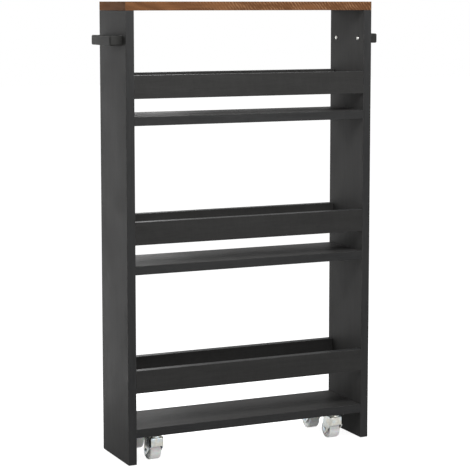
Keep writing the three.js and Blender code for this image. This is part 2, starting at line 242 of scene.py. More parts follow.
def placed_group(tree, group, inputs):
    made = tree.nodes.new("ShaderNodeGroup")
    made.node_tree = group
    for name, value in inputs.items():
        if isinstance(value, bpy.types.NodeSocket):
            tree.links.new(value, made.inputs[name])
        else:
            made.inputs[name].default_value = value
    return made.outputs


def new_material(name, **shader):
    """A material with a Principled shader and its uniform values, as (material, tree, shader,
    object coordinates)."""
    material = bpy.data.materials.new(name)
    material.use_nodes = True
    tree = material.node_tree
    principled = tree.nodes["Principled BSDF"]
    for label, value in shader.items():
        principled.inputs[label.replace("_", " ")].default_value = value
    place = tree.nodes.new("ShaderNodeTexCoord").outputs["Object"]
    return material, tree, principled, place


# Soft clouds of handling and dust, which dull a finish in places.
handling, given, wanted = shader_group(
    "Handling marks", {"Place": "vector", "Size": "value"}, {"Mask": "value"}
)
clouds = noise(handling, given["Place"], 9.0, 4, 0.62, 0.8)
smears = noise(handling, stretched(handling, given["Place"], (3, 3, 0.7)), 34.0, 3, 0.55, 1.5)
both = math_of(handling, "ADD", clouds, math_of(handling, "MULTIPLY", smears, given["Size"]))
handling.links.new(ranged(handling, both, 0.55, 1.15, 0, 1), wanted["Mask"])

# Rubbed arrises: a mask of the corner, broken up by a fine and a coarse noise.
rubbed, given, wanted = shader_group(
    "Rubbed arris", {"Place": "vector", "Arris": "value"}, {"Mask": "value"}
)
patches = ranged(rubbed, noise(rubbed, given["Place"], 60.0, 4, 0.6), 0.42, 0.68, 0, 1)
nicks = ranged(rubbed, noise(rubbed, given["Place"], 700.0, 2), 0.4, 0.7, 0.35, 1)
broken = math_of(rubbed, "MULTIPLY", patches, nicks)
rubbed.links.new(math_of(rubbed, "MULTIPLY", broken, given["Arris"]), wanted["Mask"])

# The press plate of the melamine: long shallow pores over a fine pearl, with a faint drift of tone.
pressed, given, wanted = shader_group(
    "Pressed melamine",
    {"Place": "vector", "Grain": "vector"},
    {"Tone": "value", "Height": "value"},
)
drift = noise(pressed, given["Grain"], 5.0, 5, 0.6, 0.6)
pores = ranged(pressed, noise(pressed, given["Grain"], 46.0, 4, 0.65, 0.3), 0.5, 0.72, 0, 1)
pearl = noise(pressed, given["Place"], 1500.0, 2)
tone = math_of(pressed, "SUBTRACT", drift, math_of(pressed, "MULTIPLY", pores, 0.35))
height = math_of(pressed, "SUBTRACT", math_of(pressed, "MULTIPLY", pearl, 0.45), pores)
pressed.links.new(tone, wanted["Tone"])
pressed.links.new(height, wanted["Height"])


DUST = (0.09, 0.088, 0.085, 1)
RUBBED = (0.16, 0.155, 0.15, 1)


def charcoal_melamine(name, along, dark, light, smooth):
    """Charcoal facing whose pores run along one axis. Smooth is its roughness where it's clean."""
    material, tree, shader, place = new_material(name, Specular_IOR_Level=0.03)
    grain = stretched(tree, place, [1.0 if axis == along else 14.0 for axis in range(3)])
    face = placed_group(tree, pressed, {"Place": place, "Grain": grain})
    marks = placed_group(tree, handling, {"Place": place, "Size": 0.6})["Mask"]
    arris = node(tree, "Attribute", attribute_name="arris").outputs["Fac"]
    worn = placed_group(tree, rubbed, {"Place": place, "Arris": arris})["Mask"]
    toned = mixed(tree, ranged(tree, face["Tone"], 0.2, 0.62, 0, 1), dark, light)
    dusty = mixed(tree, math_of(tree, "MULTIPLY", marks, 0.1), toned, DUST)
    coloured = mixed(tree, math_of(tree, "MULTIPLY", worn, 0.3), dusty, RUBBED)
    tree.links.new(coloured, shader.inputs["Base Color"])
    tree.links.new(ranged(tree, marks, 0, 1, smooth, smooth + 0.14), shader.inputs["Roughness"])
    tree.links.new(bumped(tree, face["Height"], 0.00006, 0.55), shader.inputs["Normal"])
    return material


CHARCOAL_DARK = (0.0245, 0.0242, 0.0238, 1)
CHARCOAL_LIGHT = (0.0305, 0.0302, 0.0297, 1)
BAND_DARK = (0.0235, 0.0237, 0.0240, 1)
BAND_LIGHT = (0.0320, 0.0323, 0.0327, 1)
upright_face = charcoal_melamine("Charcoal face, upright", 2, CHARCOAL_DARK, CHARCOAL_LIGHT, 0.5)
upright_band = charcoal_melamine("Charcoal band, upright", 2, BAND_DARK, BAND_LIGHT, 0.44)

for side in ("left", "right"):
    panel = board(side + "_side_panel", "side_panel_" + side, banded=[1])
    low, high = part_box("side_panel_" + side)
    drills = []
    for end in ("front", "back"):
        _, y, z = middle_of(f"handle_screw_{side}_{end}")
        start, stop = (low.x - PAST, y, z), (high.x + PAST, y, z)
        drills.append(rod("drill", HANDLE_SCREW + DRILL_PLAY, start, stop))
    combine(panel, drills, "DIFFERENCE")
    panel.data.materials.append(upright_face)
    panel.data.materials.append(upright_band)
    settle_normals(panel)
    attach(panel, "carcass")
    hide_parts("side_panel_" + side)


# ---- Shelves
# Three boards of the same stuff between the panels. A bore near each end of the underside holds
# the cam that draws the joint together, and the bottom shelf has pilot holes for the casters.
lying_face = charcoal_melamine("Charcoal face, lying", 0, CHARCOAL_DARK, CHARCOAL_LIGHT, 0.5)
lying_band = charcoal_melamine("Charcoal band, lying", 0, BAND_DARK, BAND_LIGHT, 0.44)
CORNERS = ("front_left", "front_right", "rear_left", "rear_right")
PLATE_SCREW = 0.00175  # radius of the shank of a caster screw

for level in ("bottom", "middle", "top"):
    shelf = board(level + "_shelf", "shelf_" + level, banded=[1])
    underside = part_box("shelf_" + level)[0].z
    bores = []
    for side in ("left", "right"):
        low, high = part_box(f"cam_{level}_{side}")
        x, y, _ = middle_of(f"cam_{level}_{side}")
        radius = (high.x - low.x) / 2 + DRILL_PLAY
        start, stop = (x, y, underside - PAST), (x, y, high.z + DRILL_PLAY)
        bores.append(rod("bore", radius, start, stop, 48))
    if level == "bottom":
        for corner in CORNERS:
            for count in range(1, 5):
                screw = f"caster_screw_{corner}_{count}"
                x, y, _ = middle_of(screw)
                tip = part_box(screw)[1].z + DRILL_PLAY
                start, stop = (x, y, underside - PAST), (x, y, tip)
                bores.append(rod("bore", PLATE_SCREW + DRILL_PLAY, start, stop, 16))
    combine(shelf, bores, "DIFFERENCE")
    shelf.data.materials.append(lying_face)
    shelf.data.materials.append(lying_band)
    settle_normals(shelf)
    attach(shelf, "carcass")
    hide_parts("shelf_" + level)


# ---- Cams
# Zinc die-cast discs, pressed into the shelf bores and turned with a screwdriver through a cross
# slot. Their faces carry the small arrow that shows which way the cam bolt lies.
CROSS_LENGTH = 0.0088
CROSS_WIDTH = 0.0017
CROSS_DEPTH = 0.0022
ARROW = 0.0011
ARROW_DEPTH = 0.0004
CAM_EDGE = 0.0002
SEAM = 0.00001  # how near the ends of a full turn lie when they are closed
SLIVER = 0.0001  # edges shorter than this are merged away after a cut
FLAT = 0.01  # faces that meet at less than this angle count as one


def turned(name, outline, middle, along, steps=48):
    """Spins an outline of (radius, distance) points about a line through middle. Distances run
    along X when along is 0, and along Z when it is 2."""
    places = []
    for radius, distance in outline:
        offset = (distance, radius, 0) if along == 0 else (radius, 0, distance)
        places.append(Vector(middle) + Vector(offset))
    bpy.ops.object.select_all(action="DESELECT")
    bpy.ops.mesh.primitive_plane_add(size=1)
    piece = bpy.context.object
    piece.name = piece.data.name = name
    bpy.ops.object.mode_set(mode="EDIT")
    bpy.ops.mesh.merge(type="CENTER")
    bpy.ops.mesh.select_mode(type="VERT")
    bpy.ops.mesh.select_all(action="SELECT")
    bpy.ops.transform.translate(value=places[0])
    for last, following in zip(places, places[1:]):
        step = {"value": following - last}
        bpy.ops.mesh.extrude_vertices_move(TRANSFORM_OT_translate=step)
    bpy.ops.mesh.select_all(action="SELECT")
    axis = (1, 0, 0) if along == 0 else (0, 0, 1)
    bpy.ops.mesh.spin(steps=steps, angle=math.tau, center=middle, axis=axis)
    bpy.ops.mesh.select_all(action="SELECT")
    bpy.ops.mesh.remove_doubles(threshold=SEAM)
    bpy.ops.mesh.normals_make_consistent(inside=False)
    close_mesh()
    return piece


def merged(piece, reach=SLIVER):
    """Merges the slivers that a cut leaves, and the facets that lie in one flat face."""
    open_mesh(piece)
    bpy.ops.mesh.select_all(action="SELECT")
    bpy.ops.mesh.remove_doubles(threshold=reach)
    bpy.ops.mesh.dissolve_degenerate(threshold=reach / 2)
    bpy.ops.mesh.dissolve_limited(angle_limit=FLAT)
    close_mesh()


def eased(piece, width, angle=35):
    """Rounds the edges of a finished shape that are sharper than an angle in degrees."""
    merged(piece)
    modifier = piece.modifiers.new("Eased edges", "BEVEL")
    modifier.width = width
    modifier.segments = 2
    modifier.limit_method = "ANGLE"
    modifier.angle_limit = math.radians(angle)
    make_active(piece)
    bpy.ops.object.modifier_apply(modifier=modifier.name)
    merged(piece, SLIVER / 5)


def cross_cutter(centre, length, width, depth):
    """The two crossed wedges that press a cross slot into a face that looks down."""
    wedges = []
    for size in ((length, width), (width, length)):
        low = centre - Vector((size[0] / 2, size[1] / 2, PAST))
        high = centre + Vector((size[0] / 2, size[1] / 2, depth))
        wedge = block("wedge", low, high)
        open_mesh(wedge)
        pick_faces(wedge, lambda face: face.normal.z > 0.9)
        bpy.ops.transform.resize(value=(0.7, 0.7, 1), center_override=centre)
        close_mesh()
        wedges.append(wedge)
    return wedges


# Fine scratches in two directions, a crystal mottle and soft clouds of bloom, for plated metal.
plated, given, wanted = shader_group(
    "Plated metal",
    {"Place": "vector"},
    {"Mottle": "value", "Scratches": "value", "Bloom": "value"},
)
one_way = stretched(plated, given["Place"], (40, 900, 900), (0.3, 0.2, 0.5))
other_way = stretched(plated, given["Place"], (900, 60, 700), (0.1, 0.6, 0))
scratched = math_of(
    plated, "MAXIMUM", noise(plated, one_way, 1, 2), noise(plated, other_way, 1, 2)
)
plated.links.new(ranged(plated, scratched, 0.6, 0.78, 0, 1), wanted["Scratches"])
crystals = node(plated, "TexVoronoi", {"Vector": given["Place"], "Scale": 520.0})
cloudy = noise(plated, given["Place"], 110.0, 4, 0.6)
mottle = mixed(plated, 0.2, cloudy, crystals.outputs["Color"])
plated.links.new(mottle, wanted["Mottle"])
bloom = noise(plated, given["Place"], 55.0, 2, 0.5, 1.2)
plated.links.new(ranged(plated, bloom, 0.42, 0.66, 0, 1), wanted["Bloom"])


def plated_metal(name, dark, light, tint, smooth, rough):
    """Plated metal between two tones, with clouds of a tint. Smooth is its roughness where it's
    clean, and rough where it's worn."""
    material, tree, shader, place = new_material(name, Metallic=1.0)
    coat = placed_group(tree, plated, {"Place": place})
    marks = placed_group(tree, handling, {"Place": place, "Size": 1.0})["Mask"]
    tone = mixed(tree, ranged(tree, coat["Mottle"], 0.25, 0.7, 0, 1), dark, light)
    tinted = mixed(tree, math_of(tree, "MULTIPLY", coat["Bloom"], 0.6), tone, tint)
    tree.links.new(tinted, shader.inputs["Base Color"])
    worn = math_of(tree, "ADD", marks, math_of(tree, "MULTIPLY", coat["Scratches"], 0.5))
    tree.links.new(ranged(tree, worn, 0, 1.4, smooth, rough), shader.inputs["Roughness"])
    relief = math_of(tree, "SUBTRACT", coat["Mottle"], coat["Scratches"])
    tree.links.new(bumped(tree, relief, 0.00002, 0.25), shader.inputs["Normal"])
    return material


fitting_zinc = plated_metal(
    "Zinc, die-cast fittings",
    dark=(0.44, 0.44, 0.43, 1),
    light=(0.62, 0.62, 0.6, 1),
    tint=(0.52, 0.5, 0.44, 1),
    smooth=0.26,
    rough=0.46,
)


def copied(piece, name, shift=(0, 0, 0), half_turn=None):
    """A copy with its own mesh, turned half round a standing line if one is given, then moved."""
    twin = piece.copy()
    twin.data = piece.data.copy()
    twin.name = twin.data.name = name
    bpy.context.scene.collection.objects.link(twin)
    if half_turn is not None:
        centre = Matrix.Translation(half_turn)
        twin.data.transform(centre @ Matrix.Rotation(math.pi, 4, "Z") @ centre.inverted())
    twin.data.transform(Matrix.Translation(shift))
    return twin


low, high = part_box("cam_bottom_left")
first_cam = Vector(((low.x + high.x) / 2, (low.y + high.y) / 2, low.z))
radius, depth = (high.x - low.x) / 2, high.z - low.z
cam = turned("cam", [(0, 0), (radius, 0), (radius, depth), (0, depth)], first_cam, 2)
arrow_tip = first_cam + Vector((-radius * 0.9, 0, 0))
arrow_outline = [(0, -PAST), (ARROW, -PAST), (ARROW, ARROW_DEPTH), (0, ARROW_DEPTH)]
arrow = turned("arrow", arrow_outline, arrow_tip, 2, 3)
combine(cam, cross_cutter(first_cam, CROSS_LENGTH, CROSS_WIDTH, CROSS_DEPTH), "DIFFERENCE")
combine(cam, [arrow], "DIFFERENCE")
eased(cam, CAM_EDGE)
cam.data.materials.append(fitting_zinc)
settle_normals(cam)
for level in ("bottom", "middle", "top"):
    for side in ("left", "right"):
        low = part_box(f"cam_{level}_{side}")[0]
        x, y, _ = middle_of(f"cam_{level}_{side}")
        shift = Vector((x, y, low.z)) - first_cam
        turn = first_cam if side == "right" else None
        disc = copied(cam, f"{level}_{side}_cam_disc", shift, turn)
        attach(disc, "carcass")
        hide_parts(f"cam_{level}_{side}")
bpy.data.objects.remove(cam)


# ---- Guard rails
# Narrow strips of the same board on edge, in front of and behind each shelf, that keep jars from
# sliding off. Their long edges are banded, and they are dowelled between the panels.
for level in ("bottom", "middle", "top"):
    for face in ("front", "back"):
        rail = board(f"{level}_{face}_guard_rail", f"rail_{level}_{face}", banded=[2])
        rail.data.materials.append(lying_face)
        rail.data.materials.append(lying_band)
        settle_normals(rail)
        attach(rail, "carcass")
        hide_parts(f"rail_{level}_{face}")


# ---- Top board
# Particle board faced with a walnut print and banded on all four edges. The print has the figure of
# a flat-sawn plank, and the band also shows the slanting marks of a saw.
WALNUT_DARK = (0.088, 0.038, 0.017, 1)
WALNUT_MIDDLE = (0.122, 0.055, 0.025, 1)
WALNUT_LIGHT = (0.156, 0.070, 0.031, 1)
SAWN_LIGHT = (0.255, 0.140, 0.074, 1)
SAWN_DARK = (0.088, 0.036, 0.019, 1)
END_BAND = (0.235, 0.110, 0.048, 1)
PORE = (0.04, 0.017, 0.009, 1)
SAW_LEAN = math.radians(38)

walnut, given, wanted = shader_group(
    "Walnut print", {"Place": "vector"}, {"Color": "colour", "Height": "value", "Gloss": "value"}
)
bent = noise(walnut, stretched(walnut, given["Place"], (2.2, 9, 9)), 1.0, 3, 0.5)
bend = node(walnut, "CombineXYZ", {1: math_of(walnut, "MULTIPLY", bent, 0.11)}).outputs[0]
figure = node(walnut, "VectorMath", {0: given["Place"], 1: bend}, operation="ADD").outputs[0]
rings = node(
    walnut,
    "TexWave",
    {
        "Vector": stretched(walnut, figure, (0.12, 1, 1.15)),
        "Scale": 26.0,
        "Distortion": 5.0,
        "Detail": 4.0,
        "Detail Scale": 2.2,
        "Detail Roughness": 0.62,
    },
    bands_direction="Y",
).outputs["Fac"]
streaks = noise(walnut, stretched(walnut, figure, (5, 190, 190)), 1.0, 6, 0.66, 0.4)
fibres = noise(walnut, stretched(walnut, given["Place"], (28, 1300, 1300)), 1.0, 3, 0.6)
pores = noise(walnut, stretched(walnut, given["Place"], (75, 1150, 1150)), 1.0, 2, 0.5)
pored = ranged(walnut, pores, 0.62, 0.74, 0, 1)
grain = mixed(walnut, 0.55, rings, streaks)
ramp = node(walnut, "ValToRGB", {"Fac": grain})
ramp.color_ramp.elements[0].position = 0.22
ramp.color_ramp.elements[0].color = WALNUT_DARK
ramp.color_ramp.elements[1].position = 0.8
ramp.color_ramp.elements[1].color = WALNUT_LIGHT
ramp.color_ramp.elements.new(0.5).color = WALNUT_MIDDLE
between_fibres = ranged(walnut, fibres, 0.35, 0.65, 0.45, 0)
fibred = mixed(walnut, between_fibres, ramp.outputs[0], WALNUT_DARK)
darkened = mixed(walnut, math_of(walnut, "MULTIPLY", pored, 0.6), fibred, PORE)
walnut.links.new(darkened, wanted["Color"])
walnut.links.new(math_of(walnut, "SUBTRACT", fibres, pored), wanted["Height"])
walnut.links.new(ranged(walnut, grain, 0.2, 0.8, 0.5, 0.38), wanted["Gloss"])


def walnut_finish(name, saw_share, along=0, paler=0.0):
    """The walnut print with its worn arris. It is crossed by saw marks as strongly as saw_share
    says, and drawn towards the paler tone of the end bands as far as paler says."""
    material, tree, shader, place = new_material(name, Specular_IOR_Level=0.006)
    turn = (0, 0, math.pi / 2 if along == 1 else 0)
    print_of = placed_group(tree, walnut, {"Place": stretched(tree, place, (1, 1, 1), turn)})
    marks = placed_group(tree, handling, {"Place": place, "Size": 0.8})["Mask"]
    arris = node(tree, "Attribute", attribute_name="arris").outputs["Fac"]
    worn = placed_group(tree, rubbed, {"Place": place, "Arris": arris})["Mask"]
    leaning = stretched(tree, place, (1, 1, 1), (0, SAW_LEAN, 0))
    saw = node(
        tree,
        "TexWave",
        {"Vector": leaning, "Scale": 56.0, "Distortion": 3.6, "Detail": 3.0, "Detail Scale": 2.4},
        bands_direction="X",
    ).outputs["Fac"]
    patches = noise(tree, stretched(tree, place, (34, 1, 110)), 1.0, 3)
    patches = ranged(tree, patches, 0.38, 0.62, 0.15, 1)
    across = node(tree, "SeparateXYZ", {0: place}).outputs["X"]
    blade = math_of(tree, "MULTIPLY", patches, ranged(tree, across, -0.16, 0.04, 0.1, 1))
    blade = math_of(tree, "MULTIPLY", blade, saw_share)
    sawn = math_of(tree, "MULTIPLY", ranged(tree, saw, 0.45, 0.95, 0, 1), blade)
    between = math_of(tree, "MULTIPLY", ranged(tree, saw, 0.05, 0.5, 0.6, 0), blade)
    plain = mixed(tree, paler, print_of["Color"], END_BAND)
    darker = mixed(tree, between, plain, SAWN_DARK)
    lighter = mixed(tree, sawn, darker, SAWN_LIGHT)
    rubbed_pale = mixed(tree, math_of(tree, "MULTIPLY", worn, 0.35), lighter, SAWN_LIGHT)
    tree.links.new(rubbed_pale, shader.inputs["Base Color"])
    dulled = math_of(tree, "ADD", print_of["Gloss"], math_of(tree, "MULTIPLY", marks, 0.12))
    tree.links.new(dulled, shader.inputs["Roughness"])
    relief = math_of(tree, "ADD", print_of["Height"], sawn)
    tree.links.new(bumped(tree, relief, 0.00008, 0.6), shader.inputs["Normal"])
    return material


top_board = board("walnut_top", "top_board", banded=[0, 1])
top_board.data.materials.append(walnut_finish("Walnut print, faces", 0.06))
top_board.data.materials.append(walnut_finish("Walnut print, long bands", 0.75))
top_board.data.materials.append(walnut_finish("Walnut print, end bands", 0.05, along=1, paler=0.3))
low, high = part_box("top_board")
for face in top_board.data.polygons:
    if not low.x + EDGE_BAND < face.center.x < high.x - EDGE_BAND:
        face.material_index = 2
settle_normals(top_board)
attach(top_board, "carcass")
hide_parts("top_board")


# ---- Bow handles
# One on the outside of each side panel near the top, die-cast and powder-coated black: a flat grip
# on two posts, with rounded corners. A screw from inside the cart holds each post.
GRIP = 0.008
POST = 0.014
OUTER_CORNER = 0.004
INNER_CORNER = 0.004
GRIP_EDGE = 0.003
SCREW_DEPTH = 0.010
NEAR = 0.0001  # how close counts as the same place when edges are picked
COAT_DARK = (0.022, 0.022, 0.021, 1)
COAT_LIGHT = (0.034, 0.034, 0.033, 1)
COAT_GREY = (0.08, 0.08, 0.077, 1)  # where hands have dulled it

low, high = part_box("handle_left")
grip_back = low.x + GRIP
handle_middle = (low + high) / 2
handle = block("left_bow_handle", low, (grip_back, high.y, high.z))
open_mesh(handle)
for y in (low.y + POST, high.y - POST):
    bpy.ops.mesh.select_all(action="SELECT")
    bpy.ops.mesh.bisect(plane_co=(0, y, 0), plane_no=(0, 1, 0))


def is_post_face(face):
    place = face.calc_center_median()
    far_out = abs(place.y - handle_middle.y) > (high.y - low.y) / 2 - POST
    return face.normal.x > 0.9 and far_out


pick_faces(handle, is_post_face)
bpy.ops.mesh.extrude_region_move(TRANSFORM_OT_translate={"value": (high.x - grip_back, 0, 0)})


def upright_edge(at_x, away):
    """A test for the upright edges at one x, a given distance from the handle's middle."""
    return lambda middle, direction, angle: (
        abs(direction.z) > 0.99
        and abs(middle.x - at_x) < NEAR
        and abs(abs(middle.y - handle_middle.y) - away) < NEAR
    )


reach = (high.y - low.y) / 2
pick_edges(handle, upright_edge(low.x, reach))
bpy.ops.mesh.bevel(offset=OUTER_CORNER, segments=6, affect="EDGES")
pick_edges(handle, upright_edge(grip_back, reach - POST))
bpy.ops.mesh.bevel(offset=INNER_CORNER, segments=6, affect="EDGES")
pick_edges(
    handle,
    lambda middle, direction, angle: (
        angle > 1 and abs(direction.z) < 0.01 and middle.x < high.x - NEAR
    ),
)
bpy.ops.mesh.bevel(offset=GRIP_EDGE, segments=4, affect="EDGES")
close_mesh()
sockets = []
for end in ("front", "back"):
    _, y, z = middle_of(f"handle_screw_left_{end}")
    start, stop = (high.x + PAST, y, z), (high.x - SCREW_DEPTH, y, z)
    sockets.append(rod("drill", HANDLE_SCREW + DRILL_PLAY, start, stop))
combine(handle, sockets, "DIFFERENCE")

black_coat, tree, shader, place = new_material("Black powder coat", Specular_IOR_Level=0.014)
orange_peel = noise(tree, place, 850.0, 2, 0.5)
grit = node(tree, "TexVoronoi", {"Vector": place, "Scale": 2600.0}).outputs["Distance"]
marks = placed_group(tree, handling, {"Place": place, "Size": 0.9})["Mask"]
coat_tone = mixed(tree, noise(tree, place, 300.0, 3), COAT_DARK, COAT_LIGHT)
handled = mixed(tree, math_of(tree, "MULTIPLY", marks, 0.12), coat_tone, COAT_GREY)
tree.links.new(handled, shader.inputs["Base Color"])
tree.links.new(ranged(tree, marks, 0, 1, 0.36, 0.52), shader.inputs["Roughness"])
skin = math_of(tree, "ADD", orange_peel, math_of(tree, "MULTIPLY", grit, 0.4))
tree.links.new(bumped(tree, skin, 0.00007, 0.5), shader.inputs["Normal"])

handle.data.materials.append(black_coat)
settle_normals(handle, 50)
other_handle = copied(handle, "right_bow_handle", half_turn=(0, handle_middle.y, 0))
for side, piece in (("left", handle), ("right", other_handle)):
    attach(piece, "carcass")
    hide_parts("handle_" + side)


# ---- Handle screws
# Zinc-plated machine screws with pan heads and a cross slot, from the inside of each panel into a
# post of the handle.
HANDLE_SCREW_HEAD = 0.0026
SLOT_LENGTH = 1.15  # of the head's radius
SLOT_WIDTH = 0.24  # of the head's radius
SLOT_DEPTH = 0.62  # of the head's height


def pan_screw(name, head_radius, head_height, shank_radius, length):
    """A screw on end at the origin: its head hangs below z = 0 and its shank stands above."""
    outline = [(0, -head_height)]
    for step in range(5):
        turn = math.radians(22 + 17 * step)
        outline.append((head_radius * math.sin(turn), -head_height * math.cos(turn * 0.98)))
    outline += [(head_radius, 0), (shank_radius, 0), (shank_radius, length - shank_radius)]
    outline += [(shank_radius * 0.4, length), (0, length)]
    screw = turned(name, outline, (0, 0, 0), 2, 40)
    slot = cross_cutter(
        Vector((0, 0, -head_height)),
        head_radius * SLOT_LENGTH,
        head_radius * SLOT_WIDTH,
        head_height * SLOT_DEPTH,
    )
    combine(screw, slot, "DIFFERENCE")
    merged(screw)
    screw.data.materials.append(fitting_zinc)
    settle_normals(screw, 30)
    return screw


low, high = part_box("handle_screw_left_front")
length = high.x - low.x - HANDLE_SCREW_HEAD
screw = pan_screw("screw", (high.z - low.z) / 2, HANDLE_SCREW_HEAD, HANDLE_SCREW, length)
for side, outward in (("left", -1), ("right", 1)):
    for end in ("front", "back"):
        low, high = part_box(f"handle_screw_{side}_{end}")
        seat = high.x - HANDLE_SCREW_HEAD if side == "left" else low.x + HANDLE_SCREW_HEAD
        middle = middle_of(f"handle_screw_{side}_{end}")
        piece = copied(screw, f"{side}_{end}_handle_screw")
        piece.data.transform(Matrix.Rotation(outward * math.pi / 2, 4, "Y"))
        piece.data.transform(Matrix.Translation((seat, middle.y, middle.z)))
        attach(piece, "carcass")
        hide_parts(f"handle_screw_{side}_{end}")
bpy.data.objects.remove(screw)


# ---- Casters: mounting plates
# A pressed steel plate with rounded corners under each corner of the bottom shelf. Its middle is
# pressed down into the dish of the swivel, and it is bright zinc all over.
PLATE = 0.002
PLATE_CORNER = 0.004
DISH = 0.0105
DISH_ROUND = 0.0012  # how far the foot of the dish draws in
DISH_RISE = 0.0005
PIN = 0.003
PRESSED_EDGE = 0.0003
bright_zinc = plated_metal(
    "Zinc, bright pressed steel",
    dark=(0.31, 0.30, 0.265, 1),
    light=(0.50, 0.49, 0.445, 1),
    tint=(0.38, 0.46, 0.52, 1),
    smooth=0.08,
    rough=0.22,
)
caster_low, caster_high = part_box("caster_plate_front_left")
swivel = Vector(((caster_low.x + caster_high.x) / 2, (caster_low.y + caster_high.y) / 2, 0))
plate_under = caster_high.z - PLATE
plate = block("plate", (caster_low.x, caster_low.y, plate_under), caster_high)
open_mesh(plate)
pick_edges(plate, lambda middle, direction, angle: abs(direction.z) > 0.99)
bpy.ops.mesh.bevel(offset=PLATE_CORNER, segments=6, affect="EDGES")
close_mesh()
dish_depth = plate_under - caster_low.z
dish = turned(
    "dish",
    [
        (0, 0),
        (DISH - DISH_ROUND, 0),
        (DISH - DISH_ROUND / 3, DISH_RISE),
        (DISH, dish_depth),
        (DISH, dish_depth + PLATE / 2),
        (0, dish_depth + PLATE / 2),
    ],
    (swivel.x, swivel.y, caster_low.z),
    2,
)
combine(plate, [dish], "UNION")
merged(plate)
hollow = rod(
    "hollow",
    DISH - PLATE,
    (swivel.x, swivel.y, caster_low.z + PLATE),
    (swivel.x, swivel.y, caster_high.z + PAST),
    48,
)
pin_hole = rod(
    "hole",
    PIN + DRILL_PLAY,
    (swivel.x, swivel.y, caster_low.z - PAST),
    (swivel.x, swivel.y, caster_high.z),
)
holes = [hollow, pin_hole]
for count in range(1, 5):
    x, y, _ = middle_of(f"caster_screw_front_left_{count}")
    start, stop = (x, y, plate_under - PAST), (x, y, caster_high.z + PAST)
    holes.append(rod("hole", PLATE_SCREW + DRILL_PLAY, start, stop, 24))
combine(plate, holes, "DIFFERENCE")
eased(plate, PRESSED_EDGE)
plate.data.materials.append(bright_zinc)
settle_normals(plate)


def on_each_caster(piece, suffix, part, body):
    """Copies a piece of the front left caster to every corner, and uses up the pattern."""
    for corner in CORNERS:
        shift = middle_of("caster_plate_" + corner) - middle_of("caster_plate_front_left")
        twin = copied(piece, f"{corner}_{suffix}", shift)
        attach(twin, body.format(corner))
        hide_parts(part.format(corner))
    bpy.data.objects.remove(piece)


on_each_caster(plate, "caster_plate", "caster_plate_{}", "carcass")


# ---- Casters: plate screws
# Four wood screws with pan heads hold each plate up against the bottom shelf. Their shanks stand
# in the pilot holes of the board.
PLATE_SCREW_HEAD = 0.0019
low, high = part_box("caster_screw_front_left_1")
length = high.z - low.z - PLATE_SCREW_HEAD
screw = pan_screw("screw", (high.x - low.x) / 2, PLATE_SCREW_HEAD, PLATE_SCREW, length)
for count in range(1, 5):
    low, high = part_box(f"caster_screw_front_left_{count}")
    seat = ((low.x + high.x) / 2, (low.y + high.y) / 2, low.z + PLATE_SCREW_HEAD)
    piece = copied(screw, f"pattern_{count}", seat)
    on_each_caster(
        piece,
        f"plate_screw_{count}",
        "caster_screw_{}_" + str(count),
        "carcass",
    )
bpy.data.objects.remove(screw)


# ---- Casters: kingpins
# The rivet that the fork turns on, closed over inside the dish of the plate. Its zinc plate is
# blue-white, unlike the bright pressed steel round it.
PIN_HEAD = 0.006
PIN_HEAD_HEIGHT = 0.0018
PIN_HEAD_SLOPE = 0.001
PIN_CLOSED = 0.0055  # radius of the end that is closed over
PIN_CLOSED_HEIGHT = 0.001
PIN_EDGE = 0.00025
blue_zinc = plated_metal(
    "Zinc, blue-white",
    dark=(0.36, 0.42, 0.46, 1),
    light=(0.58, 0.63, 0.66, 1),
    tint=(0.34, 0.46, 0.6, 1),
    smooth=0.2,
    rough=0.42,
)
pin_low, pin_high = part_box("kingpin_front_left")
foot = Vector((swivel.x, swivel.y, pin_low.z))
length = pin_high.z - pin_low.z
kingpin = turned(
    "kingpin",
    [
        (0, 0),
        (PIN_HEAD - PIN_HEAD_SLOPE, 0),
        (PIN_HEAD, PIN_HEAD_HEIGHT / 2),
        (PIN_HEAD, PIN_HEAD_HEIGHT),
        (PIN, PIN_HEAD_HEIGHT),
        (PIN, length - PIN_CLOSED_HEIGHT),
        (PIN_CLOSED, length - PIN_CLOSED_HEIGHT),
        (PIN_CLOSED, length),
        (0, length),
    ],
    foot,
    2,
)
eased(kingpin, PIN_EDGE)
kingpin.data.materials.append(blue_zinc)
settle_normals(kingpin)
on_each_caster(kingpin, "kingpin_rivet", "kingpin_{}", "carcass")


# ---- Casters: forks
# A channel folded from 2 mm sheet: a short apron in front, a leg on each side of the wheel, and a
# roof with the pressed cup of the swivel. Its legs taper to a round boss about the axle.
SHEET = 0.002
BEND = 0.0035
FRONT_BEND = 0.007
BOSS = 0.009
APRON = 0.017
ROOF_BACK = 0.020
CUP = 0.013
CUP_HEIGHT = 0.0018
CUP_ROUND = 0.0012  # how far the top of the cup draws in
AXLE = 0.003
low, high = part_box("fork_front_left")
roof = high.z - CUP_HEIGHT
axle_middle = middle_of("wheel_front_left")
fork = block("fork", low, (high.x, high.y + BOSS, roof))
open_mesh(fork)
pick_edges(
    fork,
    lambda middle, direction, angle: abs(direction.z) > 0.99 and middle.y < low.y + NEAR,
)
bpy.ops.mesh.bevel(offset=FRONT_BEND, segments=6, affect="EDGES")
pick_edges(
    fork,
    lambda middle, direction, angle: (
        angle > 0.6 and middle.z > roof - NEAR and middle.y < high.y + BOSS - NEAR
    ),
)
bpy.ops.mesh.bevel(offset=BEND, segments=4, affect="EDGES")
pick_faces(fork, lambda face: face.normal.z < -0.9 or face.normal.y > 0.9)
bpy.ops.mesh.delete(type="FACE")
close_mesh()
wall = fork.modifiers.new("Sheet", "SOLIDIFY")
wall.thickness = SHEET
wall.offset = -1
wall.use_even_offset = True
make_active(fork)
bpy.ops.object.modifier_apply(modifier=wall.name)

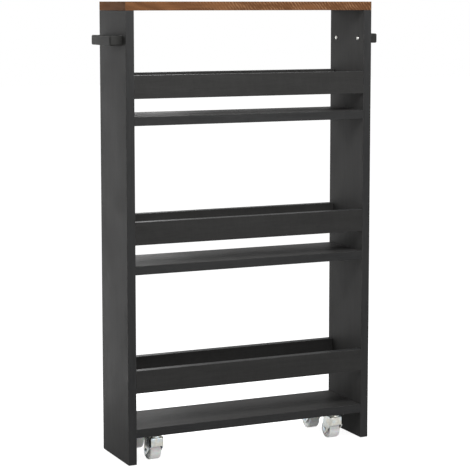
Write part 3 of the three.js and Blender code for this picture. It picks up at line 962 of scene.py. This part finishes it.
side_reach = Vector((2 * PAST, 0, 0))
boss = rod(
    "leg outline",
    BOSS,
    Vector((low.x, axle_middle.y, axle_middle.z)) - side_reach,
    Vector((high.x, axle_middle.y, axle_middle.z)) + side_reach,
    64,
)
shoulder = block(
    "shoulder",
    Vector((low.x, low.y - PAST, roof - APRON)) - side_reach,
    Vector((high.x, swivel.y + ROOF_BACK, roof + PAST)) + side_reach,
)
make_active(boss)
shoulder.select_set(True)
bpy.ops.object.join()
open_mesh(boss)
bpy.ops.mesh.select_all(action="SELECT")
bpy.ops.mesh.convex_hull()
close_mesh()
combine(fork, [boss], "INTERSECT")
cup = turned(
    "cup",
    [
        (0, -SHEET / 2),
        (CUP, -SHEET / 2),
        (CUP, CUP_HEIGHT * 0.4),
        (CUP - CUP_ROUND / 3, CUP_HEIGHT * 0.85),
        (CUP - CUP_ROUND, CUP_HEIGHT),
        (0, CUP_HEIGHT),
    ],
    (swivel.x, swivel.y, roof),
    2,
    64,
)
combine(fork, [cup], "UNION")
merged(fork)
axle_hole = rod(
    "hole",
    AXLE + DRILL_PLAY,
    Vector((low.x, axle_middle.y, axle_middle.z)) - side_reach,
    Vector((high.x, axle_middle.y, axle_middle.z)) + side_reach,
)
pin_hole = rod(
    "hole",
    PIN + DRILL_PLAY,
    (swivel.x, swivel.y, roof - 2 * SHEET),
    (swivel.x, swivel.y, high.z + PAST),
)
combine(fork, [axle_hole, pin_hole], "DIFFERENCE")
eased(fork, PRESSED_EDGE)
fork.data.materials.append(bright_zinc)
settle_normals(fork, 40)
on_each_caster(fork, "caster_fork", "fork_{}", "swivel_{}")


# ---- Casters: axles
# A rivet through both legs and the wheel's hub, with a domed head at each end. It is plated like
# the kingpin, and the wheel rolls on it.
AXLE_HEAD = 0.0045
AXLE_HEAD_HEIGHT = 0.0017
low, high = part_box("axle_front_left")
half = (high.x - low.x) / 2
inner = -half + AXLE_HEAD_HEIGHT
outline = [(0, -half)]
for turn in (25, 45, 65, 85):
    tilt = math.radians(turn)
    outline.append((AXLE_HEAD * math.sin(tilt), inner - AXLE_HEAD_HEIGHT * math.cos(tilt)))
outline += [(AXLE_HEAD, inner), (AXLE, inner)]
outline += [(radius, -distance) for radius, distance in reversed(outline)]
axle = turned("axle", outline, axle_middle, 0)
axle.data.materials.append(blue_zinc)
settle_normals(axle, 30)
on_each_caster(axle, "caster_axle", "axle_{}", "swivel_{}")


# ---- Casters: wheels
# Moulded off-white nylon: a tread with rounded shoulders, a thin web set back from the rim and a
# hub that the axle runs through. A fine ridge round the tread marks where the mould parted.
HUB = 0.007
HUB_STEP = 0.0005  # how far the hub stands out past the tread on each side
WEB = 0.0025  # how deep the web is set back
RIM = 0.0037
HUB_DRAFT = 0.0007
RIM_DRAFT = 0.0008
SHOULDER = 0.003
RIDGE = 0.0001
RIDGE_HALF = 0.0002
MOULDED_EDGE = 0.0003
NYLON_DARK = (0.85, 0.85, 0.84, 1)
NYLON_LIGHT = (0.92, 0.92, 0.91, 1)
GRIME = (0.4, 0.38, 0.34, 1)
SCUFF = (0.5, 0.49, 0.46, 1)
low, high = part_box("wheel_front_left")
tread_radius = (high.z - low.z) / 2
hub_half = (high.x - low.x) / 2
tread_half = hub_half - HUB_STEP
web_half = tread_half - WEB
side_line = [(AXLE + DRILL_PLAY, hub_half), (HUB, hub_half), (HUB + HUB_DRAFT, web_half)]
side_line += [(tread_radius - RIM - RIM_DRAFT, web_half), (tread_radius - RIM, tread_half)]
for step in range(6):
    turn = math.radians(18 * step)
    out = tread_radius - RIDGE - SHOULDER + SHOULDER * math.sin(turn)
    side_line.append((out, tread_half - SHOULDER + SHOULDER * math.cos(turn)))
side_line.append((tread_radius - RIDGE, RIDGE_HALF))
outline = side_line + [(tread_radius, 0)]
outline += [(radius, -distance) for radius, distance in reversed(side_line)]
outline.append(outline[0])
wheel = turned("wheel", outline, axle_middle, 0, 80)
eased(wheel, MOULDED_EDGE, angle=60)

nylon, tree, shader, place = new_material(
    "Off-white nylon", Subsurface_Weight=0.12, Subsurface_Scale=0.002
)
flow = noise(tree, place, 90.0, 4, 0.6, 1.0)
scuffs = noise(tree, stretched(tree, place, (900, 120, 120)), 1.0, 3)
scuffs = ranged(tree, scuffs, 0.58, 0.75, 0, 1)
marks = placed_group(tree, handling, {"Place": place, "Size": 1.0})["Mask"]
moulded = mixed(tree, flow, NYLON_DARK, NYLON_LIGHT)
grubby = mixed(tree, math_of(tree, "MULTIPLY", marks, 0.12), moulded, GRIME)
scuffed = mixed(tree, math_of(tree, "MULTIPLY", scuffs, 0.16), grubby, SCUFF)
tree.links.new(scuffed, shader.inputs["Base Color"])
tree.links.new(ranged(tree, marks, 0, 1, 0.34, 0.5), shader.inputs["Roughness"])
tree.links.new(bumped(tree, scuffs, 0.00005, 0.4), shader.inputs["Normal"])
wheel.data.materials.append(nylon)
settle_normals(wheel, 30)
on_each_caster(wheel, "caster_wheel", "wheel_{}", "roller_{}")


# ---- Floor, light and camera
# A white floor and a white world, five soft lamps, and a long lens from the front left. The floor
# glows only to the camera and in reflections, so that it stays white round the cart.
FLOOR_SIZE = 30
FLOOR_GLOW = 0.92
WORLD_LIGHT = 0.28


def looked_at(tree):
    """One where the camera, a reflection or something clear looks straight at a surface."""
    ray = node(tree, "LightPath").outputs
    seen = math_of(tree, "MAXIMUM", ray["Is Camera Ray"], ray["Is Glossy Ray"])
    return math_of(tree, "MAXIMUM", seen, ray["Is Transmission Ray"])


bpy.ops.mesh.primitive_plane_add(size=FLOOR_SIZE, location=(0, 0, 0))
floor = bpy.context.object
floor.name = floor.data.name = "floor"
white, tree, shader, place = new_material("White floor")
tree.nodes.remove(shader)
speckle = ranged(tree, noise(tree, place, 40.0, 3), 0, 1, 0.48, 0.52)
matt = node(tree, "BsdfDiffuse", {"Color": speckle}).outputs[0]
strength = math_of(tree, "MULTIPLY", looked_at(tree), FLOOR_GLOW)
glow = node(tree, "Emission", {"Strength": strength}).outputs[0]
lit = node(tree, "AddShader", {0: matt, 1: glow}).outputs[0]
tree.links.new(lit, tree.nodes["Material Output"].inputs["Surface"])
floor.data.materials.append(white)

world = bpy.data.worlds.new("White room")
bpy.context.scene.world = world
world.use_nodes = True
tree = world.node_tree
background = tree.nodes["Background"]
background.inputs["Color"].default_value = (1, 1, 1, 1)
strength = ranged(tree, looked_at(tree), 0, 1, WORLD_LIGHT, 1.0)
tree.links.new(strength, background.inputs["Strength"])


def soft_lamp(name, place, aim, size, power):
    """An oblong lamp that shines at a point. Its size is in metres and its power in watts."""
    lamp = bpy.data.lights.new(name, "AREA")
    lamp.shape = "RECTANGLE"
    lamp.size, lamp.size_y = size
    lamp.energy = power
    lamp_object = bpy.data.objects.new(name, lamp)
    bpy.context.scene.collection.objects.link(lamp_object)
    lamp_object.location = place
    turn = (Vector(aim) - Vector(place)).to_track_quat("-Z", "Y")
    lamp_object.rotation_euler = turn.to_euler()
    lamp_object.visible_camera = False


soft_lamp("Lamp over the front", (-0.1, -0.8, 1.42), (-0.05, 0, 0.85), (1.0, 0.4), 16)
soft_lamp("Lamp low in front", (0.1, -1.0, 0.14), (0, 0, 0.04), (1.0, 0.2), 2.6)
soft_lamp("Lamp behind the left", (-0.41, 0.28, 0.6), (-0.28, 0.07, 0.6), (0.12, 1.15), 1.9)
soft_lamp("Lamp behind", (-0.05, 0.5, 0.6), (0.2, 0.02, 0.55), (0.35, 1.15), 3.6)
soft_lamp("Lamp at the right", (1.1, 0.4, 0.75), (0.28, 0, 0.5), (0.6, 1.2), 9)

LENS = 128.206
SENSOR = 36
LENS_SHIFT = -0.08
CAMERA_PLACE = (-1.48729, -3.21027, 0.94796)
CAMERA_TURN = math.radians(-24.8056)  # from straight along +Y, towards +X
CAMERA_TILT = math.radians(90 - 6.641)
camera_data = bpy.data.cameras.new("camera")
camera_data.lens = LENS
camera_data.sensor_width = SENSOR
camera_data.shift_y = LENS_SHIFT
camera_data.clip_end = 100
camera = bpy.data.objects.new("camera", camera_data)
bpy.context.scene.collection.objects.link(camera)
camera.location = CAMERA_PLACE
camera.rotation_euler = (CAMERA_TILT, 0, CAMERA_TURN)
bpy.context.scene.camera = camera
bpy.context.scene.view_settings.view_transform = "Standard"
